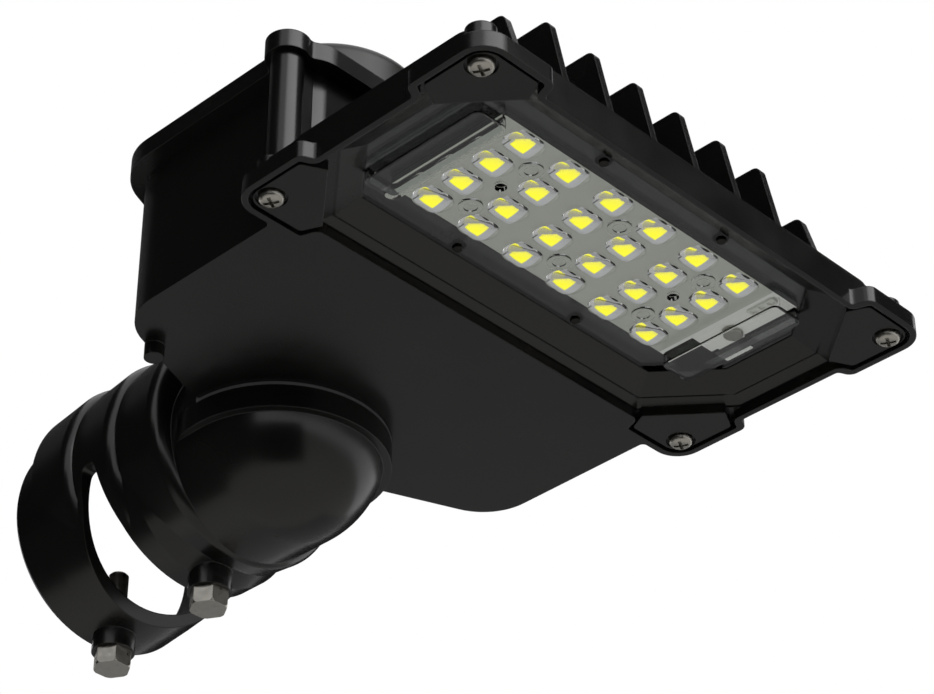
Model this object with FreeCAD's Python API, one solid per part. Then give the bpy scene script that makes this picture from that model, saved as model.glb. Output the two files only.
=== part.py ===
import FreeCAD, Part
import math
import os

os.makedirs("parts", exist_ok=True)
V = FreeCAD.Vector
up = V(0, 0, 1)

# Sizes in millimetres. The lamp is drawn about the middle of its four bezel screws, lamp side down, with
# the pole socket towards +Y, and is moved at the end so that the socket's clamp ring is the origin.

# Lamp head
headHalfX = 83.2
headHalfY = 40.0
headHeight = 10.3
headBaseTop = 16.0
headBaseInset = 4.0
rimWall = 1.8
earReachX = 4.0
earReachY = 5.4
earStartX = 60.4
earStartY = 17.2
earSlant = 1.8
earRadius = 8.0
earEndRadius = 3.0
earBlend = 1.5
earTop = 5.0
earBoss = 4.1
earBossTop = 11.2

# Recess in the underside of the head, and the stack that fills it
earFloor = 3.0
tabGap = 1.2
tabLevel = 0.4
tabRadius = 5.0
seatLevel = 1.4
seatRadius = 4.3
lensLevel = 9.0
bezelEdge = 3.4
bezelOuter = (81.2, 38.2)
bezelCrest = (77.8, 35.8)
bezelInner = (70.4, 28.4)
crestLevel = 4.9
cornerCut = (19.2, 22.4)
fit = 0.2
lensThickness = 1.4
lensHalf = (75.0, 33.0)
gasketThickness = 1.0
floorHalf = (71.5, 30.5)
boardHalf = (54.0, 20.6)
boardTongue = (62.4, 10.2)
boardStep = (64.6, -1.4, 8.0)
boardGap = 0.1
boardThickness = 1.6
padThickness = 0.5

# Optics
ledColumns = 6
ledRows = 4
ledPitchX = 17.0
ledPitchY = 10.84
ledSize = 5.0
ledHeight = 0.6
domeRadius = 4.5
domeHeight = 1.7
domeSpread = 1.6
cavityRadius = 3.7
stakeX = (-34.0, 0.0, 34.0)
stakeRadius = (3.3, 1.9)
stakeHeight = 0.7
ventHoleRadius = 1.7
blisterX = (52.4, 64.0)
blisterHalfY = 20.8
blisterDepth = 3.6
blisterWall = 1.0

# Cooling fins
finCount = 8
finThickness = 2.2
finFootY = -32.6
finRake = 6.0
finTop = 44.2
endFinTop = 35.6
finTipRadius = 3.0

# Driver box
boxHalfX = 72.8
boxFrontY = 33.0
boxSideEndY = 104.5
boxBackHalfX = 34.4
boxBackY = 119.4
boxHeight = 46.0
boxWall = 2.6
boxFloor = 2.6
boxStepY = 42.6
boxRearRadius = 17.0
boxFrontRadius = 7.0

# Top cover
coverOverhang = 5.4
coverBackOverhang = 2.0
coverSkirt = 5.7
coverPlate = 2.4
coverCrown = 5.0
coverSlope = 11.0
coverFrontRadius = 11.0
sealThickness = 1.0
sealInset = 0.6
frontEar = (78.1, 35.2)
rearEar = (67.0, 97.0)
lobeRadius = 6.2
lobeBlend = 2.5
bossRadius = 4.5
footLug = (-57.5, 108.6)
footLugRadius = 2.8
footLugDrop = 4.0

# Screws: shank radius, head radius, head height
bezelScrew = (2.0, 3.5, 2.8)
coverScrew = (2.0, 3.6, 2.4)
driverScrew = (1.7, 3.0, 2.0)
lensScrew = (0.9, 1.4, 0.7)
boardScrew = (1.5, 2.8, 1.0)
fitterScrew = (2.5, 4.5, 3.2)
fastenerFit = 0.05
coverScrewDepth = 12.0
bezelScrewDepth = 5.6
screwX = 79.8
screwY = 37.2
lensScrewX = 23.2
lensScrewY = 26.2
lensScrewDepth = 5.4
lensPost = 2.4
boardScrewX = 59.6
boardScrewDepth = 4.4

# Wire way from the lamp recess to the driver box
wayX = 58.0
wayZ = 12.1
wayRadius = 2.8
grommetBore = 1.4
connectorX = (54.2, 57.0)
connectorY = (-18.4, -9.6)
connectorHeight = 1.2
connectorWays = 3

# Driver box contents
driverX = (-60.0, 34.0)
driverY = (58.0, 98.0)
driverTop = 31.0
driverTab = 8.0
driverTabThickness = 1.6
driverTabZ = 7.0
surgeX = (44.0, 62.0)
surgeY = (56.0, 92.0)
surgeHeight = 20.0
terminalX = (-13.0, 13.0)
terminalY = (102.5, 112.5)
terminalHeight = 13.0

# Pole socket
socketZ = -1.2
socketBore = 30.5
socketDraft = 0.3
landStart = 170.0
landGap = 4.1
frontRing = 32.4
frontRingStart = 150.0
rearRing = 33.6
mouthRing = 34.5
ringDrop = 1.6
stopBore = 27.4
throat = 30.4
domeCentreY = 120.0
ringStartY = 136.0
ridgeFrontY = 142.5
collarY = 160.0
windowFront = (161.4, 0.147)
windowRear = (167.4, 0.35)
windowTopZ = -3.4
windowRound = 2.8
ridgeRearY = 186.4
mouthY = 198.0
mouthLead = 1.2
flangeRadius = 32.0
flangeThickness = 7.2
backPlateHalf = 32.0
backPlateTop = 36.0
backPlateThickness = 5.0
humpRadius = 36.4
humpRise = 5.6
humpPitch = 19.4
humpCount = 3
humpStartY = 133.0
humpRound = 4.0
humpFall = 1.4

# Clamp bolts: place along the socket, and height of the boss that the head seats on
clampBolts = {"clamp_bolt_rear": (190.4, -41.6), "clamp_bolt_front": (148.2, -38.2)}
boltRadius = 3.0
boltFit = 0.08
boltAcross = 10.0
boltHead = 5.4
boltTip = -15.2
boltBoss = 6.4

# Photocell on the cover
cellX = -18.2
cellY = 83.3
cellRadius = 28.0
cellTop = 96.0
cellRound = 4.0
cellWall = 2.0
cellGap = 0.3
baseRadius = 25.0
baseHeight = 4.0
neckRadius = 17.0
neckDepth = 14.0
bladeRadius = 11.0
bladeThickness = 1.6
bladeLength = 7.0
bladeAngle = 26.0
bladeTurn = 20.0
bladeClear = 0.4


def block(x0, x1, y0, y1, z0, z1):
    return Part.makeBox(x1 - x0, y1 - y0, z1 - z0, V(x0, y0, z0))


def rod(x, y, z0, z1, radius):
    return Part.makeCylinder(radius, z1 - z0, V(x, y, z0))


def corners(points):
    """Closed wire through (x, y, radius) corners, each rounded by a tangent arc."""
    edges = []
    ends = []
    count = len(points)
    for i in range(count):
        here = V(points[i][0], points[i][1], 0)
        back = (V(points[i - 1][0], points[i - 1][1], 0) - here).normalize()
        onward = points[(i + 1) % count]
        ahead = (V(onward[0], onward[1], 0) - here).normalize()
        radius = points[i][2]
        half = math.acos(max(-1.0, min(1.0, back.dot(ahead)))) / 2
        reach = radius / math.tan(half)
        middle = (back + ahead).normalize() * (radius / math.sin(half) - radius)
        ends.append((here + back * reach, here + middle, here + ahead * reach, radius))
    for i in range(count):
        start, middle, stop, radius = ends[i]
        if radius > 0:
            edges.append(Part.Arc(start, middle, stop).toShape())
        following = ends[(i + 1) % count][0]
        if stop.distanceToPoint(following) > 1e-6:
            edges.append(Part.LineSegment(stop, following).toShape())
    return Part.Wire(edges)


def slab(points, z0, z1):
    face = Part.Face(corners(points))
    face.translate(V(0, 0, z0))
    return face.extrude(V(0, 0, z1 - z0))


def bothSides(half):
    """Whole outline from the +X half, listed front to rear."""
    return half + [(-x, y, r) for x, y, r in reversed(half)]


def octagon(halfX, halfY, cutX, cutY):
    ring = [(halfX - cutX, -halfY), (halfX, cutY - halfY), (halfX, halfY - cutY), (halfX - cutX, halfY)]
    return ring + [(-x, y) for x, y in reversed(ring)]


def ring8(size, level, shrink=0.0):
    share = size[1] / bezelOuter[1]
    flat = octagon(size[0] - shrink, size[1] - shrink, cornerCut[0] * share, cornerCut[1] * share)
    points = [V(x, y, level) for x, y in flat]
    return Part.makePolygon(points + points[:1])


def roundedBox(x, y, halfX, halfY, radius, z0, z1):
    points = [(x - halfX, y - halfY, radius), (x + halfX, y - halfY, radius),
              (x + halfX, y + halfY, radius), (x - halfX, y + halfY, radius)]
    return slab(points, z0, z1)


def fuse(shapes):
    return shapes[0].multiFuse(shapes[1:]).removeSplitter()


def headHalf(inset):
    """+X half of the head's outline with its ears, from the front to the rear ear."""
    side = headHalfX - inset
    front = headHalfY - inset
    earX = side + earReachX
    earY = front + earReachY
    run = earStartX + inset
    drop = earStartY + inset
    bend = earEndRadius - inset
    hollow = earBlend + inset
    return [(run, -front, hollow), (run + earSlant, -earY, bend), (earX, -earY, earRadius - inset),
            (earX, -drop - earSlant, bend), (side, -drop, hollow),
            (side, drop, hollow), (earX, drop + earSlant, bend), (earX, earY, earRadius - inset)]


def recessPlan(inset):
    run = earStartX + inset
    front = headHalfY - inset
    rear = [(run + earSlant, front + earReachY, earEndRadius - inset), (run, front, earBlend + inset)]
    return bothSides(headHalf(inset) + rear)


def footPlan():
    """Underside of head and driver box together."""
    return bothSides(headHalf(0) + [(boxHalfX, headHalfY + earReachY, earBlend)] + boxRear(0))


def boxRear(inset):
    return [(boxHalfX - inset, boxSideEndY - inset * 0.7, max(1.0, boxRearRadius - inset)),
            (boxBackHalfX - inset * 0.2, boxBackY - inset, 3.0)]


def boxPlan(inset):
    corner = max(1.0, boxFrontRadius - inset)
    return bothSides([(boxHalfX - inset, boxFrontY + inset, corner)] + boxRear(inset))


def lowerBoxPlan(inset):
    return bothSides([(boxHalfX - inset, boxStepY + inset, 3.0)] + boxRear(inset))


def fin(x, top):
    """Plate square to X, raked at the front, from the head's base back into the box wall."""
    rear = boxFrontY + 1.0
    foot = headBaseTop - 1.0
    profile = [(finFootY, foot, 0.0), (rear, foot, 0.0), (rear, top, 0.0),
               (finFootY + finRake, top, finTipRadius)]
    face = Part.Face(corners(profile))
    face.rotate(V(0, 0, 0), V(1, 0, 0), 90)
    face.rotate(V(0, 0, 0), V(0, 0, 1), 90)
    face.translate(V(x - finThickness / 2, 0, 0))
    return face.extrude(V(finThickness, 0, 0))


def ledCentres():
    for column in range(ledColumns):
        for row in range(ledRows):
            yield ((column - (ledColumns - 1) / 2) * ledPitchX, (row - (ledRows - 1) / 2) * ledPitchY)


def fourCorners(x, y):
    return [(sx * x, sy * y) for sx in (-1, 1) for sy in (-1, 1)]


def coverEars():
    return [(-frontEar[0], frontEar[1]), frontEar, (-rearEar[0], rearEar[1]), rearEar]


# Heights of the stack in the recess, counted from the lens towards the fins
lensBack = lensLevel + lensThickness
gasketBack = lensBack + gasketThickness
boardFace = lensBack + boardGap
boardBack = boardFace + boardThickness
padBack = boardBack + padThickness
boltPlaces = sorted(y for y, bottom in clampBolts.values())
landEnd = boltPlaces[1] - landGap
mountY = (landStart + landEnd) / 2
coverBottom = boxHeight
coverTop = coverBottom + coverSkirt
crownTop = coverTop + coverCrown


def driverScrewPlaces():
    middle = (driverY[0] + driverY[1]) / 2
    return [(driverX[0] - driverTab / 2, middle), (driverX[1] + driverTab / 2, middle)]


def fitterScrewPlaces():
    """Points on the box's inner faces, with the direction in which each screw goes."""
    down = [(V(x, domeCentreY - 16, boxFloor), V(0, 0, -1)) for x in (-20, 20)]
    back = [(V(x, boxBackY - boxWall, backPlateTop - 10), V(0, 1, 0)) for x in (-24, 24)]
    return down + back


def makeHousing():
    body = [slab(footPlan(), 0, earTop),
            roundedBox(0, 0, headHalfX, headHalfY, 4.0, 0, headHeight),
            roundedBox(0, 0, headHalfX - headBaseInset, headHalfY - headBaseInset, 8.0,
                       headHeight - 1, headBaseTop),
            slab(boxPlan(0), 0, boxHeight)]
    body.append(rod(footLug[0], footLug[1], -footLugDrop, boxFloor, footLugRadius))
    for i in range(finCount):
        x = (i - (finCount - 1) / 2) * ledPitchX
        body.append(fin(x, endFinTop if i in (0, finCount - 1) else finTop))
    for signX, signY in fourCorners(1, 1):
        body.append(rod(signX * screwX, signY * screwY, 0, earBossTop, earBoss))
    for x, y in coverEars()[:2]:
        body.append(rod(x, y, earTop, boxHeight, bossRadius))
        side = math.copysign(boxHalfX - boxWall, x)
        body.append(block(min(x, side), max(x, side), y - 1.5, y + bossRadius, headHeight - 1, boxHeight))
    shape = fuse(body)
    recess = fuse([slab(recessPlan(rimWall), -1, earFloor),
                   Part.Face(ring8(bezelOuter, 0, -fit)).extrude(V(0, 0, lensLevel)),
                   roundedBox(0, 0, lensHalf[0] + fit, lensHalf[1] + fit, 3.0, 0, gasketBack),
                   roundedBox(0, 0, floorHalf[0], floorHalf[1], 2.0, 0, padBack)])
    hollow = fuse([slab(boxPlan(boxWall), headBaseTop, boxHeight + 1),
                   slab(lowerBoxPlan(boxWall), boxFloor, boxHeight)])
    shape = shape.cut(recess).cut(hollow)
    lining = slab(boxPlan(boxWall / 2), boxFloor / 2, boxHeight)
    for x, y in coverEars()[2:]:
        shape = shape.fuse(rod(x, y, boxFloor / 2, boxHeight, bossRadius).common(lining))
    for x, y in coverEars():
        shape = shape.cut(rod(x, y, boxHeight - coverScrewDepth, boxHeight + 1, coverScrew[0] + fastenerFit))
    for x, y in fourCorners(screwX, screwY):
        shape = shape.cut(rod(x, y, 0, bezelScrewEnd, bezelScrew[0] + fastenerFit))
    for x, y in lensScrewPlaces():
        shape = shape.fuse(rod(x, y, lensBack, padBack + 1, lensPost))
        end = lensLevel + lensScrewDepth + 0.3
        shape = shape.cut(rod(x, y, lensBack - 1, end, lensScrew[0] + fastenerFit))
    end = boardFace + boardScrewDepth + 0.3
    shape = shape.cut(rod(boardScrewX, 0, padBack - 1, end, boardScrew[0] + fastenerFit))
    for x, y in driverScrewPlaces():
        shape = shape.fuse(rod(x, y, boxFloor / 2, driverTabZ, driverScrew[0] + 2.0))
        shape = shape.cut(rod(x, y, boxFloor, driverTabZ + 1, driverScrew[0] + fastenerFit))
    for place, axis in fitterScrewPlaces():
        shape = shape.cut(Part.makeCylinder(fitterScrew[0] + fastenerFit, 12, place - axis * 6, axis))
    length = boxStepY + 2 * boxWall - floorHalf[1]
    way = Part.makeCylinder(wayRadius, length, V(wayX, floorHalf[1] - 1, wayZ), V(0, 1, 0))
    return shape.cut(way).removeSplitter()


def coverPlan(inset):
    side = boxHalfX + coverOverhang - inset
    front = boxFrontY - coverOverhang + inset
    corner = max(1.0, coverFrontRadius - inset)
    rear = [(side, boxSideEndY - inset * 0.7, max(1.0, boxRearRadius - inset)),
            (boxBackHalfX + 1.0 - inset * 0.2, boxBackY + coverBackOverhang - inset, 3.0)]
    return bothSides([(side, front, corner)] + rear)


def filletEars(shape):
    """Concave blends where each front ear leaves the cover's edge."""
    picked = []
    for edge in shape.Edges:
        first, last = edge.Vertexes[0].Point, edge.Vertexes[-1].Point
        upright = abs(first.x - last.x) < 1e-6 and abs(first.y - last.y) < 1e-6
        for x, y in coverEars()[:2]:
            if upright and abs(math.hypot(first.x - x, first.y - y) - lobeRadius) < 1e-4:
                picked.append(edge)
    return shape.makeFillet(lobeBlend, picked)


def makeCover():
    plate = slab(coverPlan(0), coverBottom, coverTop)
    lobes = [rod(x, y, coverBottom, coverTop, lobeRadius) for x, y in coverEars()[:2]]
    plate = filletEars(fuse([plate] + lobes))
    crown = Part.makeLoft([raised(coverPlan(1.0), coverTop),
                           raised(coverPlan(coverSlope), crownTop)], True, True)
    shape = plate.fuse(crown)
    under = slab(boxPlan(boxWall + 1.0), coverBottom - 1, coverTop - 1.0)
    hollow = Part.makeLoft([raised(boxPlan(boxWall + 1.0), coverTop - 1.0),
                            raised(boxPlan(boxWall + coverSlope - 4.0), crownTop - coverPlate)], True, True)
    groove = slab(boxPlan(sealInset), coverBottom - 1, coverBottom + sealThickness)
    groove = groove.cut(slab(boxPlan(boxWall), coverBottom - 2, crownTop))
    shape = shape.cut(fuse([under, hollow])).cut(groove)
    for x, y in coverEars():
        shape = shape.cut(rod(x, y, coverBottom - 1, crownTop, coverScrew[0] + fastenerFit))
        shape = shape.cut(rod(x, y, coverTop, crownTop + 1, coverScrew[1] + 0.6))
    shape = shape.cut(rod(cellX, cellY, coverBottom, crownTop + 1, neckRadius + fit))
    return shape.removeSplitter()


def raised(points, level):
    wire = corners(points)
    wire.translate(V(0, 0, level))
    return wire


def makeSeal():
    seal = slab(boxPlan(sealInset + fit / 2), boxHeight, boxHeight + sealThickness)
    seal = seal.cut(slab(boxPlan(boxWall - fit / 2), boxHeight - 1, boxHeight + sealThickness + 1))
    top = boxHeight + 2 * sealThickness
    holes = [rod(x, y, boxHeight - 1, top, coverScrew[0] + fit) for x, y in coverEars()]
    return seal.cut(fuse(holes))


def screw(size, length, head):
    """Headed screw whose head sits on the origin and whose shank runs down from it."""
    shank = Part.makeCylinder(size[0], length, V(0, 0, -length))
    top = Part.makeCylinder(size[1], size[2])
    rim = [edge for edge in top.Edges if edge.BoundBox.ZMin > size[2] - 1e-6]
    top = top.makeFillet(size[2] * head, rim[:1])
    return top.fuse(shank)


def turned(shape, place, axis):
    """Copy of a piece drawn along +Z, moved to a place and turned to an axis."""
    copy = shape.copy()
    copy.Placement = FreeCAD.Placement(place, FreeCAD.Rotation(V(0, 0, 1), axis))
    return copy


def tabPlan(signX, signY):
    """Corner tab of the bezel, from inside the frame's slanted edge out into the ear's recess."""
    startX = bezelOuter[0] - cornerCut[0]
    startY = bezelOuter[1] - cornerCut[1]
    reach = rimWall + tabGap
    tipX = headHalfX + earReachX - reach
    tipY = headHalfY + earReachY - reach
    points = [(startX + 0.4, bezelOuter[1] - 1.6, 0), (startX + reach, tipY, 1.5), (tipX, tipY, tabRadius),
              (tipX, earStartY + earSlant + reach, 1.5), (bezelOuter[0] - 3.7, startY + 2.8, 0)]
    return [(signX * x, signY * y, radius) for x, y, radius in points]


def makeBezel():
    """Eight-sided frame, sloping in two steps from its edge to the lens, with a screw tab at each corner."""
    plate = Part.makeLoft([ring8(bezelOuter, bezelEdge), ring8(bezelOuter, lensLevel)], True, True)
    outer = Part.makeLoft([ring8(bezelOuter, bezelEdge - 0.01), ring8(bezelCrest, crestLevel)], True, True)
    inner = Part.makeLoft([ring8(bezelCrest, crestLevel - 0.4), ring8(bezelInner, lensLevel)], True, True)
    mouth = Part.makeLoft([ring8(bezelInner, lensLevel - 1), ring8(bezelInner, lensLevel + 1)], True, True)
    frame = plate.cut(outer.fuse(inner)).cut(mouth)
    outline = Part.Face(ring8(bezelOuter, tabLevel)).extrude(V(0, 0, bezelEdge + 1.6 - tabLevel))
    tabs = []
    for signX, signY in fourCorners(1, 1):
        plan = tabPlan(signX, signY)
        tabs += [slab(plan, tabLevel, earFloor), slab(plan, tabLevel, lensLevel).common(outline)]
    shape = fuse([frame] + tabs)
    for x, y in fourCorners(screwX, screwY):
        shape = shape.cut(rod(x, y, tabLevel - 1, seatLevel, seatRadius))
        shape = shape.cut(rod(x, y, tabLevel, lensLevel, bezelScrew[0] + fastenerFit))
    return shape.removeSplitter()


def dome(x, y):
    """Two overlapping caps, one each side of the chip, in a bean outline."""
    sphere = (domeRadius ** 2 + domeHeight ** 2) / (2 * domeHeight)
    centre = lensLevel - domeHeight + sphere
    caps = [Part.makeSphere(sphere, V(x + side * domeSpread, y, centre)) for side in (-1, 1)]
    return caps[0].fuse(caps[1])


def makeLens():
    plate = roundedBox(0, 0, lensHalf[0], lensHalf[1], 2.8, lensLevel, lensBack)
    below = block(-lensHalf[0], lensHalf[0], -lensHalf[1], lensHalf[1],
                  lensLevel - domeHeight - 1, lensBack - 0.2)
    parts = [plate] + [dome(x, y).common(below) for x, y in ledCentres()]
    middle = (blisterX[0] + blisterX[1]) / 2
    half = (blisterX[1] - blisterX[0]) / 2
    hollows = []
    for x, y in stakePlaces():
        parts.append(rod(x, y, lensLevel - stakeHeight, lensLevel, stakeRadius[0]))
        hollows.append(rod(x, y, lensLevel - stakeHeight, lensLevel - stakeHeight / 3, stakeRadius[1]))
    for x in ventPlaces():
        hollows.append(rod(x, 0, lensLevel - 1, lensBack, ventHoleRadius))
    for side in (-1, 1):
        x = side * middle
        parts.append(roundedBox(x, 0, half, blisterHalfY, 2.4, lensLevel - blisterDepth, lensLevel))
        hollows.append(roundedBox(x, 0, half - blisterWall, blisterHalfY - blisterWall, 1.4,
                                  lensLevel - blisterDepth + blisterWall, lensBack))
    shape = fuse(parts).cut(fuse(hollows))
    wells = [rod(x, y, lensBack - ledHeight - 0.3, lensBack, cavityRadius) for x, y in ledCentres()]
    holes = [rod(x, y, lensLevel - 1, lensBack, lensScrew[0] + fastenerFit) for x, y in lensScrewPlaces()]
    return shape.cut(fuse(wells + holes)).removeSplitter()


def stakePlaces():
    """Moulded rings between the chips, where the optic plate is staked to the board."""
    return [(x, side * ledPitchY) for x in stakeX for side in (-1, 1)]


def ventPlaces():
    return (stakeX[0], stakeX[-1])


def lensScrewPlaces():
    return fourCorners(lensScrewX, lensScrewY)


def makeLensGasket():
    ring = roundedBox(0, 0, lensHalf[0], lensHalf[1], 2.8, lensBack, gasketBack)
    return ring.cut(roundedBox(0, 0, floorHalf[0], floorHalf[1], 2.0, lensBack - 1, gasketBack + 1))


def boardPlan(inset):
    """Board outline: a rectangle with a tongue and a small step at its +X end."""
    halfX, halfY = boardHalf[0] - inset, boardHalf[1] - inset
    tongueX, tongueY = boardTongue[0] - inset, boardTongue[1] - inset
    stepX, stepStart, stepEnd = boardStep[0] - inset, boardStep[1] + inset, boardStep[2] - inset
    return [(-halfX, -halfY, 0.8), (tongueX, -halfY, 0.8), (tongueX, stepStart, 0.4), (stepX, stepStart, 0.4),
            (stepX, stepEnd, 0.4), (tongueX, stepEnd, 0.4), (tongueX, tongueY, 0.4), (halfX, tongueY, 0.4),
            (halfX, halfY, 0.8), (-halfX, halfY, 0.8)]


def boardHoles(z0, z1):
    vents = [rod(x, 0, z0 - 1, z1 + 1, ventHoleRadius) for x in ventPlaces()]
    return vents + [rod(boardScrewX, 0, z0 - 1, z1 + 1, boardScrew[0] + fastenerFit)]


def makeBoard():
    board = slab(boardPlan(0), boardFace, boardBack)
    return board.cut(fuse(boardHoles(boardFace, boardBack)))


def makePad():
    pad = slab(boardPlan(0.4), boardBack, padBack)
    return pad.cut(fuse(boardHoles(boardBack, padBack)))


def makeChips():
    half = ledSize / 2
    return Part.Compound([block(x - half, x + half, y - half, y + half, boardFace - ledHeight, boardFace)
                          for x, y in ledCentres()])


def makeConnectors():
    top = boardFace - connectorHeight
    body = block(connectorX[0], connectorX[1], connectorY[0], connectorY[1], top, boardFace)
    pitch = (connectorY[1] - connectorY[0]) / connectorWays
    pockets = []
    for i in range(connectorWays):
        y = connectorY[0] + pitch * (i + 0.5)
        pockets.append(block(connectorX[0] + 0.5, connectorX[1] - 0.5, y - pitch * 0.3, y + pitch * 0.3,
                             top - 1, top + connectorHeight / 2))
    return body.cut(fuse(pockets))


def makeGrommet():
    start = lensHalf[1] + fit
    length = boxStepY + boxWall - start
    body = Part.makeCylinder(wayRadius - 0.05, length, V(wayX, start, wayZ), V(0, 1, 0))
    collar = Part.makeCylinder(wayRadius + 1.2, 1.4, V(wayX, start + length, wayZ), V(0, 1, 0))
    bore = Part.makeCylinder(grommetBore, length + 4, V(wayX, start - 1, wayZ), V(0, 1, 0))
    return body.fuse(collar).cut(bore).removeSplitter()


def makeDriver():
    case = roundedBox(sum(driverX) / 2, sum(driverY) / 2, (driverX[1] - driverX[0]) / 2,
                      (driverY[1] - driverY[0]) / 2, 2.0, boxFloor, driverTop)
    tabs = []
    for x, y in driverScrewPlaces():
        tab = roundedBox(x, y, driverTab / 2 + 1, 9.0, 1.0, driverTabZ, driverTabZ + driverTabThickness)
        tabs.append(tab.cut(rod(x, y, 0, driverTop, driverScrew[0] + fastenerFit)))
    return fuse([case] + tabs)


def makeSurge():
    middleX = sum(surgeX) / 2
    return roundedBox(middleX, sum(surgeY) / 2, (surgeX[1] - surgeX[0]) / 2, (surgeY[1] - surgeY[0]) / 2, 1.5,
                      boxFloor, boxFloor + surgeHeight)


def makeTerminal():
    body = block(terminalX[0], terminalX[1], terminalY[0], terminalY[1], boxFloor, boxFloor + terminalHeight)
    ways = 3
    pitch = (terminalX[1] - terminalX[0]) / ways
    for i in range(ways):
        x = terminalX[0] + pitch * (i + 0.5)
        top = boxFloor + terminalHeight
        body = body.cut(rod(x, sum(terminalY) / 2, top - 3, top + 1, 2.4))
        body = body.cut(Part.makeCylinder(2.0, 3.0, V(x, terminalY[0] - 1, boxFloor + 4), V(0, 1, 0)))
    return body


def socketProfile(points):
    """Solid of revolution about the socket's axis from (y, radius) corners."""
    wire = Part.makePolygon([V(0, y, r) for y, r in points + points[:1]])
    shape = Part.Face(wire).revolve(V(0, 0, 0), V(0, 1, 0), 360)
    shape.translate(V(0, 0, socketZ))
    return shape


def hump(startY):
    """One rounded step of the stair on the socket's upper half, about a raised axis."""
    top = humpRadius
    low = stopBore - humpRise - 2
    first = V(0, startY, top - humpRound)
    knee = V(0, startY + humpRound * (1 - math.sqrt(0.5)), top - humpRound * (1 - math.sqrt(0.5)))
    crest = V(0, startY + humpRound, top)
    fall = V(0, startY + humpPitch, top - humpFall)
    edges = [Part.LineSegment(V(0, startY, low), first).toShape(), Part.Arc(first, knee, crest).toShape(),
             Part.LineSegment(crest, fall).toShape(), Part.LineSegment(fall, V(0, fall.y, low)).toShape(),
             Part.LineSegment(V(0, fall.y, low), V(0, startY, low)).toShape()]
    face = Part.Face(Part.Wire(edges))
    shape = face.revolve(V(0, 0, 0), V(0, 1, 0), 360)
    shape.translate(V(0, 0, socketZ + humpRise))
    return shape


def bossDepth():
    return min(bottom for y, bottom in clampBolts.values()) - 5


def makeFitter():
    tube = socketProfile([(domeCentreY, 0), (domeCentreY, throat), (ridgeFrontY, throat),
                          (frontRingStart, frontRing), (mouthY - 1.0, frontRing), (mouthY - 1.0, 0)])
    collar = socketProfile([(collarY, 0), (collarY, frontRing - ringDrop), (ridgeRearY, rearRing),
                            (mouthY - 1.0, mouthRing), (mouthY, mouthRing - 0.6), (mouthY, 0)])
    collar.translate(V(0, 0, -ringDrop))
    ball = Part.makeSphere(throat, V(0, domeCentreY, socketZ))
    plate = block(-backPlateHalf, backPlateHalf, boxBackY + sealThickness,
                  boxBackY + sealThickness + backPlateThickness, socketZ, backPlateTop)
    flange = rod(0, domeCentreY, -sealThickness - flangeThickness, 0, flangeRadius)
    humps = [hump(humpStartY + i * humpPitch) for i in range(humpCount)]
    bosses = [rod(0, y, bottom, socketZ, boltBoss) for y, bottom in clampBolts.values()]
    shape = fuse([tube, collar, ball, plate, flange] + humps + bosses)
    under = block(-80, 80, 0, boxBackY + sealThickness, -sealThickness, 60)
    bore = socketProfile([(domeCentreY, 0), (domeCentreY, stopBore), (ringStartY, stopBore),
                          (ringStartY, socketBore - socketDraft), (landStart, socketBore),
                          (landEnd, socketBore), (mouthY, socketBore + mouthLead),
                          (mouthY + 1, socketBore + mouthLead), (mouthY + 1, 0)])
    inside = Part.makeSphere(stopBore, V(0, domeCentreY, socketZ))
    deep = bossDepth()
    window = slab([(windowFront[0], windowTopZ, windowRound), (windowRear[0], windowTopZ, windowRound),
                   (windowRear[0] + windowRear[1] * (windowTopZ - deep), deep, 0),
                   (windowFront[0] - windowFront[1] * (windowTopZ - deep), deep, 0)], -50, 50)
    window.rotate(V(0, 0, 0), V(1, 0, 0), 90)
    window.rotate(V(0, 0, 0), V(0, 0, 1), 90)
    shape = shape.cut(under).cut(fuse([bore, inside])).cut(window)
    for y, bottom in clampBolts.values():
        shape = shape.cut(rod(0, y, bottom - 1, socketZ, boltRadius + boltFit))
    for place, axis in fitterScrewPlaces():
        shape = shape.cut(Part.makeCylinder(fitterScrew[0] + fastenerFit, 9, place, axis))
    return shape.removeSplitter()


def makeFitterGasket():
    foot = rod(0, domeCentreY, -sealThickness, 0, flangeRadius)
    foot = foot.common(block(-80, 80, 0, boxBackY + sealThickness, -sealThickness, 0))
    back = block(-backPlateHalf, backPlateHalf, boxBackY, boxBackY + sealThickness,
                 -sealThickness, backPlateTop)
    shape = foot.fuse(back)
    for place, axis in fitterScrewPlaces():
        shape = shape.cut(Part.makeCylinder(fitterScrew[0] + fastenerFit, 12, place, axis))
    return shape.removeSplitter()


def makeClampBolt(y, bottom):
    across = boltAcross / math.sqrt(3)
    hexagon = Part.makePolygon([V(across * math.cos(math.pi / 3 * i), across * math.sin(math.pi / 3 * i), 0)
                                for i in range(7)])
    head = Part.Face(hexagon).extrude(V(0, 0, boltHead))
    cone = Part.makeCone(across * 0.93, across * 1.3, boltHead, V(0, 0, 0))
    shank = Part.makeCylinder(boltRadius, boltTip - bottom, V(0, 0, boltHead))
    tip = [edge for edge in shank.Edges if edge.BoundBox.ZMin > boltHead + 1]
    shank = shank.makeChamfer(0.6, tip[:1])
    bolt = head.common(cone).fuse(shank)
    bolt.translate(V(0, y, bottom - boltHead))
    return bolt


def sector(inner, outer, start, sweep, z0, z1):
    """Part of a ring between two angles, about the photocell's axis."""
    section = Part.makePolygon([V(inner, 0, z0), V(outer, 0, z0), V(outer, 0, z1), V(inner, 0, z1),
                                V(inner, 0, z0)])
    shape = Part.Face(section).revolve(V(0, 0, 0), V(0, 0, 1), sweep)
    shape.rotate(V(0, 0, 0), V(0, 0, 1), start)
    shape.translate(V(cellX, cellY, 0))
    return shape


def bladeStarts():
    return [120.0 * i for i in range(3)]


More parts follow.
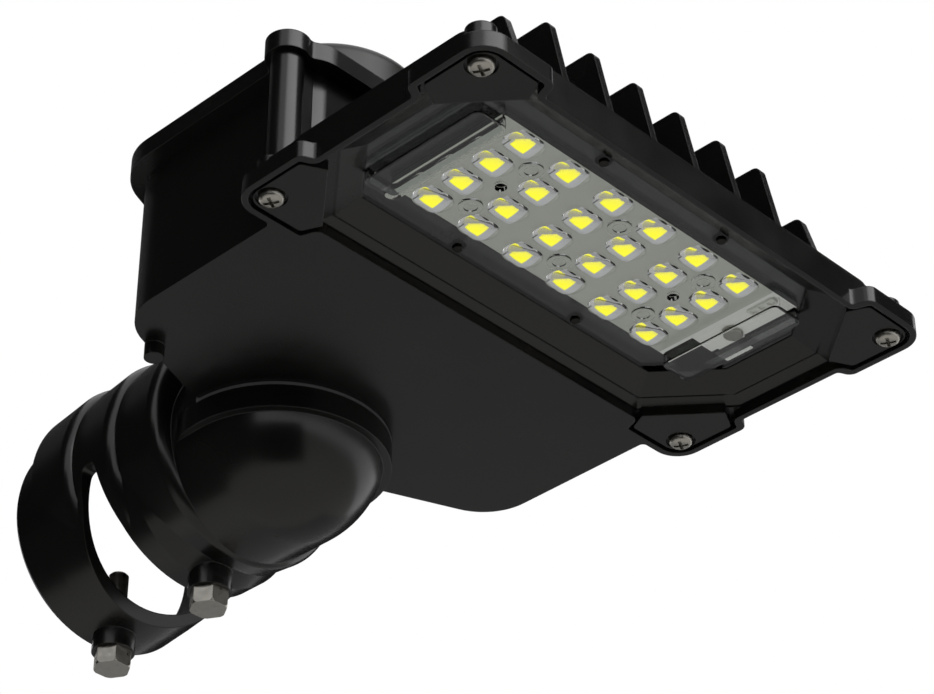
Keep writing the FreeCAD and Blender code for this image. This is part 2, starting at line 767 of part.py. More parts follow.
def makeCellBase():
    top = crownTop + baseHeight
    shape = rod(cellX, cellY, crownTop, top, baseRadius)
    shape = shape.fuse(rod(cellX, cellY, crownTop - neckDepth, crownTop, neckRadius))
    for start in bladeStarts():
        slot = sector(bladeRadius - bladeClear, bladeRadius + bladeThickness + bladeClear, start - 2,
                      bladeAngle + bladeTurn + 4, top - bladeLength - 1, top + 1)
        shape = shape.cut(slot)
    return shape.removeSplitter()


def makeCellBlades():
    top = crownTop + baseHeight
    return Part.Compound([sector(bladeRadius, bladeRadius + bladeThickness, start, bladeAngle,
                                 top - bladeLength, top + cellGap) for start in bladeStarts()])


def makeCellCap():
    floor = crownTop + baseHeight + cellGap
    body = Part.makeCone(cellRadius - 0.8, cellRadius, cellTop - floor, V(cellX, cellY, floor))
    rim = [edge for edge in body.Edges if edge.BoundBox.ZMin > cellTop - 1e-6]
    return body.makeFillet(cellRound, rim[:1])


def makeCellSeal():
    seal = rod(cellX, cellY, crownTop, crownTop + baseHeight + cellGap, baseRadius + 2.0)
    return seal.cut(rod(cellX, cellY, crownTop - 1, crownTop + baseHeight + 1, baseRadius + 0.05))


def screws(size, places, length, roundness=0.45):
    piece = screw(size, length, roundness)
    return Part.Compound([turned(piece, place, axis) for place, axis in places])


down = V(0, 0, -1)
bezelScrewEnd = earFloor + bezelScrewDepth + 0.5
nodes = {
    "housing": makeHousing(),
    "top_cover": makeCover(),
    "cover_gasket": makeSeal(),
    "cover_screws": screws(coverScrew, [(V(x, y, coverTop), up) for x, y in coverEars()],
                           coverSkirt + coverScrewDepth - 1),
    "bezel_frame": makeBezel(),
    "bezel_screws": screws(bezelScrew, [(V(x, y, seatLevel), down) for x, y in fourCorners(screwX, screwY)],
                           bezelScrewDepth + earFloor - seatLevel),
    "lens_panel": makeLens(),
    "lens_gasket": makeLensGasket(),
    "lens_screws": screws(lensScrew, [(V(x, y, lensLevel), down) for x, y in lensScrewPlaces()],
                          lensScrewDepth),
    "led_board": makeBoard(),
    "led_chips": makeChips(),
    "board_connectors": makeConnectors(),
    "board_screw": screws(boardScrew, [(V(boardScrewX, 0, boardFace), down)], boardScrewDepth),
    "thermal_pad": makePad(),
    "wire_grommet": makeGrommet(),
    "led_driver": makeDriver(),
    "driver_screws": screws(driverScrew, [(V(x, y, driverTabZ + driverTabThickness), up)
                                          for x, y in driverScrewPlaces()], 5.0),
    "surge_protector": makeSurge(),
    "terminal_block": makeTerminal(),
    "slip_fitter": makeFitter(),
    "fitter_gasket": makeFitterGasket(),
    "fitter_screws": screws(fitterScrew, [(place, -1 * axis) for place, axis in fitterScrewPlaces()], 8.5),
    "photocell_base": makeCellBase(),
    "photocell_seal": makeCellSeal(),
    "photocell_blades": makeCellBlades(),
    "photocell_cap": makeCellCap(),
}
for name, (y, bottom) in clampBolts.items():
    nodes[name] = makeClampBolt(y, bottom)

toSocket = V(0, -mountY, -socketZ)
for name, shape in nodes.items():
    placed = shape.copy()
    placed.translate(toSocket)
    print(name, len(placed.Solids), round(placed.Volume), placed.isValid())
    placed.exportStep("parts/" + name + ".step")
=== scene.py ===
import math

import bmesh
import bpy
from mathutils import Matrix, Vector


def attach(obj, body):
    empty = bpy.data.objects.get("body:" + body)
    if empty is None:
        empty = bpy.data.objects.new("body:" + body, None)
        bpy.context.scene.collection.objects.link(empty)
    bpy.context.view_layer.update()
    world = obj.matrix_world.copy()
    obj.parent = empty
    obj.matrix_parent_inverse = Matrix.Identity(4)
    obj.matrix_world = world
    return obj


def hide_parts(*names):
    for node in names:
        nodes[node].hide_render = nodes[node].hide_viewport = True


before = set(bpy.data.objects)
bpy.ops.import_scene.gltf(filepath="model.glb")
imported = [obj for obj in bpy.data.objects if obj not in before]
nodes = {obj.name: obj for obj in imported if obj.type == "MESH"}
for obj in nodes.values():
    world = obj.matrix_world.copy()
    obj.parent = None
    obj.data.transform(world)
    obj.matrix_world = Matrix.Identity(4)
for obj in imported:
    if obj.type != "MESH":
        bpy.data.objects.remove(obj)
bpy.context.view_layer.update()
print("frame loaded:", len(nodes), "parts")

mm = 0.001


def fromHex(code):  # sRGB hex to the linear values that shaders use
    channels = [int(code[i:i + 2], 16) / 255 for i in (1, 3, 5)]
    return [c / 12.92 if c <= 0.04045 else ((c + 0.055) / 1.055) ** 2.4 for c in channels] + [1.0]


def addNode(tree, kind, inputs=None, **settings):
    node = tree.nodes.new(kind)
    for name, value in settings.items():
        setattr(node, name, value)
    for key, value in (inputs or {}).items():
        if isinstance(value, bpy.types.NodeSocket):
            tree.links.new(value, node.inputs[key])
        else:
            node.inputs[key].default_value = value
    return node


# Camera, at the photograph's angle

view = {
    "place": (-0.46118, -0.58162, -0.44654),
    "right": (0.697674, -0.716415, -0.000581),
    "down": (0.407361, 0.397372, -0.822285),
    "ahead": (0.589328, 0.573450, 0.569076),
    "lens": 110.74,
    "sensor": 36.0,
}
cameraData = bpy.data.cameras.new("photoCamera")
cameraData.lens = view["lens"]
cameraData.sensor_width = view["sensor"]
cameraData.sensor_fit = "HORIZONTAL"
cameraData.clip_start = 0.01
camera = bpy.data.objects.new("photoCamera", cameraData)
right, down, ahead = Vector(view["right"]), Vector(view["down"]), Vector(view["ahead"])
turn = Matrix((right, -down, -ahead)).transposed().to_4x4()
camera.matrix_world = Matrix.Translation(view["place"]) @ turn
bpy.context.scene.collection.objects.link(camera)
bpy.context.scene.camera = camera
bpy.context.scene.view_settings.view_transform = "Standard"

# Studio: white backdrop, pale floor far below, soft boxes, and cards that the dark coat mirrors

studio = {
    "ambient": 0.50,
    "floorLevel": -1.15,
    "floorColour": "#d9d8d4",
    "floorRoughness": 0.9,
    "floorSide": 12,
    "boxes": [  # name, direction from the object, distance, width, height, radiance
        ("frontBox", (-0.044, -0.838, 0.545), 1.9, 2.3, 0.80, 2.6),
        ("rearBox", (0.25, 0.80, 0.62), 2.0, 1.2, 1.2, 1.2),
    ],
    "cards": [  # name, direction, distance, width, height, grey level seen in reflections
        ("leftCard", (-0.589, 0.573, 0.569), 1.5, 2.6, 2.2, 0.012),
        ("lowCard", (0.589, 0.573, -0.569), 1.4, 2.0, 1.6, 0.27),
        ("backCard", (0.589, 0.573, 0.45), 1.6, 2.2, 1.9, 0.015),
        ("nearCard", (-0.589, -0.573, -0.569), 1.5, 1.7, 1.7, 0.02),
        ("leftLowCard", (-0.95, 0.05, -0.30), 1.5, 1.5, 2.0, 0.03),
        ("lowLeftCard", (-0.70, 0.62, -0.35), 1.6, 1.8, 1.6, 0.03),
        ("frontCard", (0.62, -0.56, 0.569), 1.5, 1.1, 1.4, 0.02),
    ],
}


def facing(direction, distance):  # turned so that +Z looks back at the object
    toward = -Vector(direction).normalized()
    place = -toward * distance
    return Matrix.Translation(place) @ toward.to_track_quat("Z", "Y").to_matrix().to_4x4()


def flatSheet(name, width, height, matrix):
    mesh = bpy.data.meshes.new(name)
    corners = [(x * width / 2, y * height / 2, 0) for x, y in ((-1, -1), (1, -1), (1, 1), (-1, 1))]
    mesh.from_pydata([matrix @ Vector(c) for c in corners], [], [(0, 1, 2, 3)])
    sheet = bpy.data.objects.new(name, mesh)
    bpy.context.scene.collection.objects.link(sheet)
    return sheet


def buildStudio():
    world = bpy.data.worlds.new("studio")
    world.use_nodes = True
    tree = world.node_tree
    tree.nodes.clear()
    rays = addNode(tree, "ShaderNodeLightPath")
    seen = rays.outputs["Is Camera Ray"]
    for kind in ("Is Glossy Ray", "Is Transmission Ray"):
        either = addNode(tree, "ShaderNodeMath", {0: seen, 1: rays.outputs[kind]}, operation="MAXIMUM")
        seen = either.outputs[0]
    level = addNode(tree, "ShaderNodeMapRange", {"Value": seen, "To Min": studio["ambient"], "To Max": 1.0})
    back = addNode(tree, "ShaderNodeBackground", {"Color": (1, 1, 1, 1), "Strength": level.outputs["Result"]})
    addNode(tree, "ShaderNodeOutputWorld", {"Surface": back.outputs[0]})
    bpy.context.scene.world = world
    floorPaint = bpy.data.materials.new("paleFloor")
    floorPaint.use_nodes = True
    shader = floorPaint.node_tree.nodes["Principled BSDF"]
    shader.inputs["Base Color"].default_value = fromHex(studio["floorColour"])
    shader.inputs["Roughness"].default_value = studio["floorRoughness"]
    below = Matrix.Translation((0, 0, studio["floorLevel"]))
    floor = flatSheet("floor", studio["floorSide"], studio["floorSide"], below)
    floor.data.materials.append(floorPaint)
    for name, direction, distance, width, height, radiance in studio["boxes"]:
        light = bpy.data.lights.new(name, "AREA")
        light.shape = "RECTANGLE"
        light.size, light.size_y = width, height
        light.energy = radiance * math.pi * width * height
        holder = bpy.data.objects.new(name, light)
        holder.matrix_world = facing(direction, distance) @ Matrix.Rotation(math.pi, 4, "Y")
        bpy.context.scene.collection.objects.link(holder)
    for name, direction, distance, width, height, grey in studio["cards"]:
        card = flatSheet(name, width, height, facing(direction, distance))
        paint = bpy.data.materials.new(name)
        paint.use_nodes = True
        paint.node_tree.nodes.clear()
        glow = addNode(paint.node_tree, "ShaderNodeEmission", {"Color": (grey, grey, grey, 1)})
        addNode(paint.node_tree, "ShaderNodeOutputMaterial", {"Surface": glow.outputs[0]})
        card.data.materials.append(paint)
        card.visible_camera = False
        card.visible_diffuse = False
        card.visible_shadow = False
    print("studio ready:", len(studio["boxes"]), "soft boxes,", len(studio["cards"]), "cards")


buildStudio()

# Finishes. Each has two shades that a noise of real size mixes, and the same noise varies its gloss.


def startFinish(name, size):
    material = bpy.data.materials.new(name)
    material.use_nodes = True
    tree = material.node_tree
    tree.nodes.clear()
    where = addNode(tree, "ShaderNodeTexCoord").outputs["Object"]
    lump = addNode(tree, "ShaderNodeTexNoise", {
        "Vector": where, "Scale": 1000 / size["patchMm"], "Detail": 2.0})
    low, high = size["roughness"]
    gloss = addNode(tree, "ShaderNodeMapRange", {
        "Value": lump.outputs[0], "From Min": 0.3, "From Max": 0.7, "To Min": low, "To Max": high})
    shade = addNode(tree, "ShaderNodeMix", {
        0: lump.outputs[0], 6: fromHex(size["colours"][0]), 7: fromHex(size["colours"][1])}, data_type="RGBA")
    grain = addNode(tree, "ShaderNodeTexNoise", {
        "Vector": where, "Scale": 1000 / size["grainMm"], "Detail": 1.0})
    edge = addNode(tree, "ShaderNodeBevel", {"Radius": size["edgeMm"] * mm}, samples=4)
    bump = addNode(tree, "ShaderNodeBump", {
        "Height": grain.outputs[0], "Distance": size["grainMicrons"] * 1e-6, "Normal": edge.outputs[0]})
    shader = addNode(tree, "ShaderNodeBsdfPrincipled", {
        "Base Color": shade.outputs[2], "Roughness": gloss.outputs["Result"], "Normal": bump.outputs[0],
        "Metallic": size.get("metallic", 0.0)})
    return material, tree, where, shade, shader


def makeFinish(name, size):
    material, tree, where, shade, shader = startFinish(name, size)
    if "coreAndShadeColour" in size:  # cut walls of the board, holes too, are near black: its bare core, darkened as painted shade in the holes
        normal = addNode(tree, "ShaderNodeNewGeometry").outputs["True Normal"]
        across = addNode(tree, "ShaderNodeSeparateXYZ", {0: normal}).outputs["Z"]
        upright = addNode(tree, "ShaderNodeMath", {0: across}, operation="ABSOLUTE").outputs[0]
        face = addNode(tree, "ShaderNodeMath", {0: upright, 1: 0.5}, operation="GREATER_THAN").outputs[0]
        # painted light: the board is painted whiter beyond 52 mm along X and stays greyer under the optics,
        # in place of the optics dimming it
        along = addNode(tree, "ShaderNodeSeparateXYZ", {0: where}).outputs["X"]
        paintedLightMask = addNode(tree, "ShaderNodeMath", {0: along, 1: size["paintedLightFromMm"] * mm},
                       operation="GREATER_THAN").outputs[0]
        maskWithPaintedLight = addNode(tree, "ShaderNodeMix", {
            0: paintedLightMask, 6: shade.outputs[2], 7: fromHex(size["paintedLightColour"])}, data_type="RGBA").outputs[2]
        mixed = addNode(tree, "ShaderNodeMix", {
            0: face, 6: fromHex(size["coreAndShadeColour"]), 7: maskWithPaintedLight}, data_type="RGBA")
        tree.links.new(mixed.outputs[2], shader.inputs["Base Color"])
    if "glow" in size:  # a fixed painted glow in the phosphor's yellow, standing in for its fluorescence under the studio light
        shader.inputs["Emission Color"].default_value = fromHex(size["glowColour"])
        shader.inputs["Emission Strength"].default_value = size["glow"]
    addNode(tree, "ShaderNodeOutputMaterial", {"Surface": shader.outputs[0]})
    return material


# Moulded acrylic (PMMA) optic plate: clear, glossy, and it lets the lamp light through to the board
acrylic = {"tint": "#f8fafa", "waveMm": 9.0, "waveMicrons": 6.0, "shade": "#fbfcfc"}


def makeAcrylic():
    material = bpy.data.materials.new("clearAcrylic")
    material.use_nodes = True
    tree = material.node_tree
    tree.nodes.clear()
    where = addNode(tree, "ShaderNodeTexCoord").outputs["Object"]
    wave = addNode(tree, "ShaderNodeTexNoise", {
        "Vector": where, "Scale": 1000 / acrylic["waveMm"], "Detail": 0.0})
    bump = addNode(tree, "ShaderNodeBump", {
        "Height": wave.outputs[0], "Distance": acrylic["waveMicrons"] * 1e-6})
    shader = addNode(tree, "ShaderNodeBsdfPrincipled", {
        "Base Color": fromHex(acrylic["tint"]), "Roughness": 0.02, "IOR": 1.49, "Transmission Weight": 1.0,
        "Normal": bump.outputs[0]})
    clear = addNode(tree, "ShaderNodeBsdfTransparent", {"Color": fromHex(acrylic["shade"])})
    rays = addNode(tree, "ShaderNodeLightPath")
    through = addNode(tree, "ShaderNodeMath", {
        0: rays.outputs["Is Shadow Ray"], 1: rays.outputs["Is Diffuse Ray"]}, operation="MAXIMUM")
    mix = addNode(tree, "ShaderNodeMixShader", {
        0: through.outputs[0], 1: shader.outputs[0], 2: clear.outputs[0]})
    addNode(tree, "ShaderNodeOutputMaterial", {"Surface": mix.outputs[0]})
    return material


finishSizes = {
    # Polyester powder coat, sprayed and baked: satin black with an orange peel that softens its mirror
    "powderCoat": {"colours": ("#0d0c0c", "#11100f"), "roughness": (0.20, 0.28), "patchMm": 18.0,
                   "grainMm": 1.6, "grainMicrons": 1.5, "edgeMm": 0.5},
    # Stainless steel, cold headed: grey, slightly warm, with fine draw marks
    "stainlessSteel": {"colours": ("#a8a59d", "#bcb9b2"), "metallic": 1.0, "roughness": (0.26, 0.40),
                       "patchMm": 2.0, "grainMm": 0.5, "grainMicrons": 2.0, "edgeMm": 0.25},
    # Steel with black zinc: the small screws that hold the optic plate, nearly lost on the black frame
    "blackZinc": {"colours": ("#2c2b29", "#383735"), "metallic": 1.0, "roughness": (0.30, 0.45),
                  "patchMm": 1.0, "grainMm": 0.4, "grainMicrons": 2.0, "edgeMm": 0.1},
    # Silicone rubber, die cut: dull mid grey
    "siliconeRubber": {"colours": ("#4c4c4e", "#57575a"), "roughness": (0.55, 0.7), "patchMm": 6.0,
                       "grainMm": 2.0, "grainMicrons": 10.0, "edgeMm": 0.2},
    # Pale solder mask on an aluminium core board: clean, slightly glossy, painted whiter past 52 mm as
    # painted light
    "solderMask": {"colours": ("#c9cbc2", "#d1d3cb"), "roughness": (0.35, 0.5), "patchMm": 12.0,
                   "grainMm": 1.2, "grainMicrons": 3.0, "edgeMm": 0.1,
                   # the near black of the cut walls is partly the bare core and partly painted shade for the
                   # holes
                   "paintedLightFromMm": 52.0, "paintedLightColour": "#fbfbf8", "coreAndShadeColour": "#161617"},
    # Ceramic LED package: cool white, half matt
    "ledCeramic": {"colours": ("#f6f7fd", "#fcfdff"), "roughness": (0.35, 0.5), "patchMm": 1.5,
                   "grainMm": 0.5, "grainMicrons": 2.0, "edgeMm": 0.1},
    # Bare gap between the two solder pads: near black
    "padGap": {"colours": ("#1c1c1e", "#242426"), "roughness": (0.5, 0.6), "patchMm": 1.0,
               "grainMm": 0.5, "grainMicrons": 2.0, "edgeMm": 0.05},
    # Phosphor in clear silicone over the chips: saturated yellow, with a fixed painted glow
    "phosphorGel": {"colours": ("#fbf512", "#fffb2c"), "roughness": (0.25, 0.4), "patchMm": 1.0,
                    "grainMm": 0.6, "grainMicrons": 4.0, "edgeMm": 0.2, "glow": 0.8, "glowColour": "#fff600"},
    # Moulded nylon: milky white
    "nylon": {"colours": ("#e4e4de", "#ecece8"), "roughness": (0.4, 0.55), "patchMm": 2.0,
              "grainMm": 1.0, "grainMicrons": 5.0, "edgeMm": 0.2},
    # Filled silicone heat pad: dull blue grey
    "heatPad": {"colours": ("#6f7886", "#7c8592"), "roughness": (0.7, 0.85), "patchMm": 3.0,
                "grainMm": 0.8, "grainMicrons": 20.0, "edgeMm": 0.2},
    # Folded aluminium driver case: bright grey with a soft sheen
    "foldedAluminium": {"colours": ("#a9abac", "#b6b8b9"), "metallic": 1.0, "roughness": (0.34, 0.46),
                        "patchMm": 8.0, "grainMm": 0.7, "grainMicrons": 4.0, "edgeMm": 0.5},
    # Epoxy potted case: glossy near black
    "pottedCase": {"colours": ("#18181b", "#1e1e22"), "roughness": (0.2, 0.32), "patchMm": 9.0,
                   "grainMm": 3.0, "grainMicrons": 10.0, "edgeMm": 0.5},
    # Moulded polyamide terminal block: warm off-white
    "polyamide": {"colours": ("#d6d4c9", "#dedcd2"), "roughness": (0.45, 0.6), "patchMm": 4.0,
                  "grainMm": 1.0, "grainMicrons": 6.0, "edgeMm": 0.3},
    # Moulded polycarbonate cap of the photocell: dark grey with a fine matt texture
    "capPolycarbonate": {"colours": ("#1e1e1d", "#252524"), "roughness": (0.30, 0.40), "patchMm": 14.0,
                         "grainMm": 0.9, "grainMicrons": 6.0, "edgeMm": 0.6},
    # Glass-filled nylon receptacle: black, half matt
    "receptacleNylon": {"colours": ("#161616", "#1c1c1b"), "roughness": (0.4, 0.55), "patchMm": 5.0,
                        "grainMm": 0.9, "grainMicrons": 9.0, "edgeMm": 0.4},
    # Stamped brass contact blades
    "stampedBrass": {"colours": ("#c39a4c", "#d0a95c"), "metallic": 1.0, "roughness": (0.25, 0.4),
                     "patchMm": 2.0, "grainMm": 0.5, "grainMicrons": 2.0, "edgeMm": 0.15},
}
finishes = {name: makeFinish(name, size) for name, size in finishSizes.items()}
finishes["clearAcrylic"] = makeAcrylic()

wearing = {
    "powderCoat": ["housing", "top_cover", "bezel_frame", "slip_fitter"],
    "stainlessSteel": ["cover_screws", "bezel_screws", "board_screw", "driver_screws", "fitter_screws",
                       "clamp_bolt_rear", "clamp_bolt_front"],
    "blackZinc": ["lens_screws"],
    "clearAcrylic": ["lens_panel"],
    "siliconeRubber": ["cover_gasket", "lens_gasket", "wire_grommet", "fitter_gasket", "photocell_seal"],
    "solderMask": ["led_board"],
    "phosphorGel": ["led_chips"],
    "nylon": ["board_connectors"],
    "heatPad": ["thermal_pad"],
    "foldedAluminium": ["led_driver"],
    "pottedCase": ["surge_protector"],
    "polyamide": ["terminal_block"],
    "capPolycarbonate": ["photocell_cap"],
    "receptacleNylon": ["photocell_base"],
    "stampedBrass": ["photocell_blades"],
}
for finish, members in wearing.items():
    for member in members:
        piece = nodes[member]
        if not piece.data.materials:
            piece.data.materials.append(finishes[finish])
        for slot in piece.material_slots:
            slot.material = finishes[finish]
print("finishes on", sum(len(members) for members in wearing.values()), "parts")

# Repeated pieces, made with Geometry Nodes on a mesh whose points are their places

lampOffset = Vector((0, -178.15, 1.2))  # from the lamp's middle to the frame's origin, in mm
sharpDegrees = 35


def startTree(name, sizes):
    tree = bpy.data.node_groups.new(name, "GeometryNodeTree")
    tree.interface.new_socket("Places", in_out="INPUT", socket_type="NodeSocketGeometry")
    for label in sizes:
        tree.interface.new_socket(label, in_out="INPUT", socket_type="NodeSocketFloat")
    tree.interface.new_socket("Pieces", in_out="OUTPUT", socket_type="NodeSocketGeometry")
    return tree, addNode(tree, "NodeGroupInput").outputs


def endTree(tree, places, parts, turn):
    joined = addNode(tree, "GeometryNodeJoinGeometry")
    for part in reversed(parts):
        tree.links.new(part.outputs[0], joined.inputs[0])
    copies = addNode(tree, "GeometryNodeInstanceOnPoints", {
        "Points": places, "Instance": joined.outputs[0], "Rotation": turn})
    real = addNode(tree, "GeometryNodeRealizeInstances", {0: copies.outputs[0]})
    addNode(tree, "NodeGroupOutput", {0: real.outputs[0]})


def growPieces(name, tree, sizes, placesMm, standsFor):
    mesh = bpy.data.meshes.new(name)
    mesh.from_pydata([(Vector(place) + lampOffset) * mm for place in placesMm], [], [])
    piece = bpy.data.objects.new(name, mesh)
    bpy.context.scene.collection.objects.link(piece)
    modifier = piece.modifiers.new("growth", "NODES")
    modifier.node_group = tree
    for socket in tree.interface.items_tree:
        if socket.in_out == "INPUT" and socket.name in sizes:
            modifier[socket.identifier] = float(sizes[socket.name])
    evaluated = piece.evaluated_get(bpy.context.evaluated_depsgraph_get())
    grown = bpy.data.meshes.new_from_object(evaluated)
    piece.modifiers.remove(modifier)
    piece.data = grown
    bpy.data.meshes.remove(mesh)
    for face in grown.polygons:
        face.use_smooth = True
    grown.set_sharp_from_angle(angle=math.radians(sharpDegrees))
    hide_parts(standsFor)
    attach(piece, "fixture")
    print(name, "made:", len(placesMm), "copies,", len(grown.polygons), "faces")
    return piece


# Pan head screw with a cross recess. The head is a sphere whose upper half is drawn out towards a flat top
# and a steep side, by a power of its height and of its reach, and whose lower half is pressed flat.
panScrew = {"Head Radius": 3.5, "Head Height": 2.8, "Shank Radius": 2.0, "Shank Length": 5.6,
            "Recess Length": 4.3, "Recess Width": 0.95, "Recess Depth": 1.5, "Turn": 0.0}
headShape = {"reachPower": -0.22, "mostSpread": 4.0, "liftPower": 0.62, "recessTurn": 0.5}


def makeScrewTree():
    tree, size = startTree("panScrew", panScrew)
    millimetres = {}
    for label in panScrew:
        if label != "Turn":
            scaled = addNode(tree, "ShaderNodeMath", {0: size[label], 1: mm}, operation="MULTIPLY")
            millimetres[label] = scaled.outputs[0]
    ball = addNode(tree, "GeometryNodeMeshUVSphere", {"Segments": 48, "Rings": 32, "Radius": 1.0})
    where = addNode(tree, "GeometryNodeInputPosition").outputs[0]
    parts = addNode(tree, "ShaderNodeSeparateXYZ", {0: where}).outputs
    rise = addNode(tree, "ShaderNodeMath", {0: parts["Z"], 1: 0.0}, operation="MAXIMUM").outputs[0]
    square = addNode(tree, "ShaderNodeMath", {0: rise, 1: 2.0}, operation="POWER").outputs[0]
    reach = addNode(tree, "ShaderNodeMath", {0: 1.0, 1: square}, operation="SUBTRACT").outputs[0]
    spread = addNode(tree, "ShaderNodeMath", {0: reach, 1: headShape["reachPower"]},
                     operation="POWER").outputs[0]
    spread = addNode(tree, "ShaderNodeMath", {0: spread, 1: headShape["mostSpread"]},
                     operation="MINIMUM").outputs[0]
    wide = addNode(tree, "ShaderNodeMath", {0: spread, 1: millimetres["Head Radius"]},
                   operation="MULTIPLY").outputs[0]
    lift = addNode(tree, "ShaderNodeMath", {0: rise, 1: headShape["liftPower"]}, operation="POWER").outputs[0]
    high = addNode(tree, "ShaderNodeMath", {0: lift, 1: millimetres["Head Height"]},
                   operation="MULTIPLY").outputs[0]
    newX = addNode(tree, "ShaderNodeMath", {0: parts["X"], 1: wide}, operation="MULTIPLY").outputs[0]
    newY = addNode(tree, "ShaderNodeMath", {0: parts["Y"], 1: wide}, operation="MULTIPLY").outputs[0]
    shaped = addNode(tree, "ShaderNodeCombineXYZ", {0: newX, 1: newY, 2: high})
    head = addNode(tree, "GeometryNodeSetPosition", {
        "Geometry": ball.outputs[0], "Position": shaped.outputs[0]})
    deep = addNode(tree, "ShaderNodeMath", {0: millimetres["Recess Depth"], 1: 2.0},
                   operation="MULTIPLY").outputs[0]
    for first, second in (("Recess Length", "Recess Width"), ("Recess Width", "Recess Length")):
        sides = addNode(tree, "ShaderNodeCombineXYZ", {
            0: millimetres[first], 1: millimetres[second], 2: deep})
        bar = addNode(tree, "GeometryNodeMeshCube", {"Size": sides.outputs[0]})
        above = addNode(tree, "ShaderNodeCombineXYZ", {2: millimetres["Head Height"]})
        bar = addNode(tree, "GeometryNodeTransform", {
            "Geometry": bar.outputs[0], "Translation": above.outputs[0]})
        head = addNode(tree, "GeometryNodeMeshBoolean", {
            "Mesh 1": head.outputs[0], "Mesh 2": bar.outputs[0]}, operation="DIFFERENCE", solver="EXACT")
    shank = addNode(tree, "GeometryNodeMeshCylinder", {
        "Vertices": 32, "Radius": millimetres["Shank Radius"], "Depth": millimetres["Shank Length"]})
    half = addNode(tree, "ShaderNodeMath", {0: millimetres["Shank Length"], 1: -0.5}, operation="MULTIPLY")
    below = addNode(tree, "ShaderNodeCombineXYZ", {2: half.outputs[0]})
    shank = addNode(tree, "GeometryNodeTransform", {
        "Geometry": shank.outputs[0], "Translation": below.outputs[0]})
    painted = [addNode(tree, "GeometryNodeSetMaterial", {
        "Geometry": part.outputs[0], "Material": finishes["stainlessSteel"]}) for part in (head, shank)]
    turn = addNode(tree, "ShaderNodeCombineXYZ", {0: size["Turn"], 2: headShape["recessTurn"]}).outputs[0]
    endTree(tree, size["Places"], painted, turn)
    return tree


bezelScrews = {"x": 79.8, "y": 37.2, "seat": 1.4}
bezelPlaces = [(x * bezelScrews["x"], y * bezelScrews["y"], bezelScrews["seat"])
               for x in (-1, 1) for y in (-1, 1)]
headsDown = {**panScrew, "Turn": math.pi}
growPieces("bezelPanScrews", makeScrewTree(), headsDown, bezelPlaces, "bezel_screws")

# Optic plate: the same moulding, but solid down to the board, as its pockets are filled with clear gel, and
# with the crease across each dome smoothed out
opticPlate = {"front": 9.0, "back": 10.4, "pocketFloor": 9.5, "pocketRadius": 3.8, "domeReach": 6.4,
              "domeRadius": 4.5, "domeHeight": 1.7, "domeSpread": 1.6, "sharpDegrees": 28}


def makeOpticPlate():
    mesh = nodes["lens_panel"].data.copy()
    mesh.name = "opticPlate"
    if "custom_normal" in mesh.attributes:  # they no longer fit once the pockets are filled
        mesh.attributes.remove(mesh.attributes["custom_normal"])
    shell = bmesh.new()
    shell.from_mesh(mesh)
    bmesh.ops.remove_doubles(shell, verts=shell.verts, dist=1e-6)
    floor = (opticPlate["pocketFloor"] + lampOffset.z) * mm
    back = (opticPlate["back"] + lampOffset.z) * mm
    centres = [(Vector(place) + lampOffset) * mm for place in ledPlaces]
    front = (opticPlate["front"] + lampOffset.z) * mm
    height = opticPlate["domeHeight"] * mm
    sphere = ((opticPlate["domeRadius"] * mm) ** 2 + height ** 2) / (2 * height)
    for vertex in shell.verts:
        nearest = min(centres, key=lambda centre: (vertex.co - centre).xy.length)
        offset = (vertex.co - nearest).xy
        if abs(vertex.co.z - floor) < 1e-5 and offset.length < opticPlate["pocketRadius"] * mm:
            vertex.co.z = back
        elif vertex.co.z < front - 1e-6 and offset.length < opticPlate["domeReach"] * mm:
            away = math.hypot(max(abs(offset.x) - opticPlate["domeSpread"] * mm, 0.0), offset.y)
            vertex.co.z = front - math.sqrt(sphere ** 2 - away ** 2) + sphere - height
    bmesh.ops.remove_doubles(shell, verts=shell.verts, dist=1e-6)
    bmesh.ops.dissolve_degenerate(shell, edges=shell.edges, dist=1e-6)
    bmesh.ops.recalc_face_normals(shell, faces=shell.faces)
    for face in shell.faces:  # only the domes are curved
        middle = face.calc_center_median()
        onDome = any((middle - centre).xy.length < opticPlate["domeReach"] * mm for centre in centres)
        face.smooth = onDome and abs(face.normal.z) < 0.9999
    shell.to_mesh(mesh)
    shell.free()
    mesh.set_sharp_from_angle(angle=math.radians(opticPlate["sharpDegrees"]))
    mesh.materials.clear()
    mesh.materials.append(finishes["clearAcrylic"])
    plate = bpy.data.objects.new("opticPlate", mesh)
    bpy.context.scene.collection.objects.link(plate)
    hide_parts("lens_panel")
    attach(plate, "fixture")
    print("optic plate:", len(mesh.polygons), "faces")


# LED package: ceramic plate with a dark gap between its pads, a phosphor block and a corner mark. The gap
# and the mark stand a little proud of the plate.
ledPackage = {"Plate X": 8.4, "Plate Y": 7.2, "Plate Height": 0.04, "Gap Place": -2.9, "Gap Width": 0.26,
              "Phosphor Side": 4.3, "Phosphor Height": 0.08, "Mark Size": 0.55}
packageShape = {"proud": 1.3, "markAlong": 0.56, "markAside": -0.5}
ledField = {"columns": 6, "rows": 4, "pitchX": 17.0, "pitchY": 10.84, "level": 10.5}


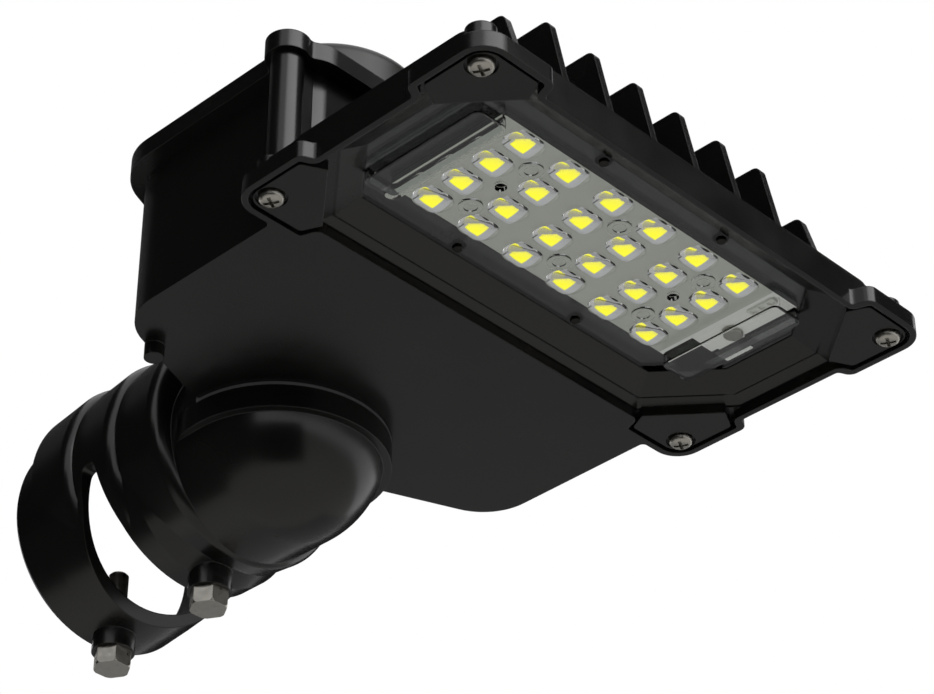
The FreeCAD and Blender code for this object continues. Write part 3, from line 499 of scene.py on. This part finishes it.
def makePackageTree():
    tree, size = startTree("ledPackage", ledPackage)
    millimetres = {}
    for label in ledPackage:
        scaled = addNode(tree, "ShaderNodeMath", {0: size[label], 1: mm}, operation="MULTIPLY")
        millimetres[label] = scaled.outputs[0]
    blocks = [  # finish, X size, Y size, height, X place, Y place
        ("ledCeramic", "Plate X", "Plate Y", "Plate Height", None, None),
        ("padGap", "Gap Width", "Plate Y", "Plate Height", "Gap Place", None),
        ("padGap", "Mark Size", "Mark Size", "Plate Height", "Phosphor Side", "Phosphor Side"),
        ("phosphorGel", "Phosphor Side", "Phosphor Side", "Phosphor Height", None, None),
    ]
    painted = []
    for finish, sizeX, sizeY, height, placeX, placeY in blocks:
        share = packageShape["proud"] if finish == "padGap" else 1.0
        tall = addNode(tree, "ShaderNodeMath", {0: millimetres[height], 1: share},
                       operation="MULTIPLY").outputs[0]
        sides = addNode(tree, "ShaderNodeCombineXYZ", {
            0: millimetres[sizeX], 1: millimetres[sizeY], 2: tall})
        block = addNode(tree, "GeometryNodeMeshCube", {
            "Size": sides.outputs[0], "Vertices X": 7, "Vertices Y": 7, "Vertices Z": 2})
        rise = addNode(tree, "ShaderNodeMath", {0: tall, 1: -0.5}, operation="MULTIPLY").outputs[0]
        move = addNode(tree, "ShaderNodeCombineXYZ", {2: rise})
        if placeX:
            share = packageShape["markAlong"] if placeY else 1.0
            along = addNode(tree, "ShaderNodeMath", {0: millimetres[placeX], 1: share}, operation="MULTIPLY")
            tree.links.new(along.outputs[0], move.inputs[0])
        if placeY:
            aside = addNode(tree, "ShaderNodeMath", {0: millimetres[placeY], 1: packageShape["markAside"]},
                            operation="MULTIPLY")
            tree.links.new(aside.outputs[0], move.inputs[1])
        block = addNode(tree, "GeometryNodeTransform", {
            "Geometry": block.outputs[0], "Translation": move.outputs[0]})
        painted.append(addNode(tree, "GeometryNodeSetMaterial", {
            "Geometry": block.outputs[0], "Material": finishes[finish]}))
    endTree(tree, size["Places"], painted, (0.0, 0.0, 0.0))
    return tree


ledPlaces = [((i - (ledField["columns"] - 1) / 2) * ledField["pitchX"],
              (j - (ledField["rows"] - 1) / 2) * ledField["pitchY"], ledField["level"])
             for i in range(ledField["columns"]) for j in range(ledField["rows"])]
makeOpticPlate()
growPieces("ledPackages", makePackageTree(), ledPackage, ledPlaces, "led_chips")
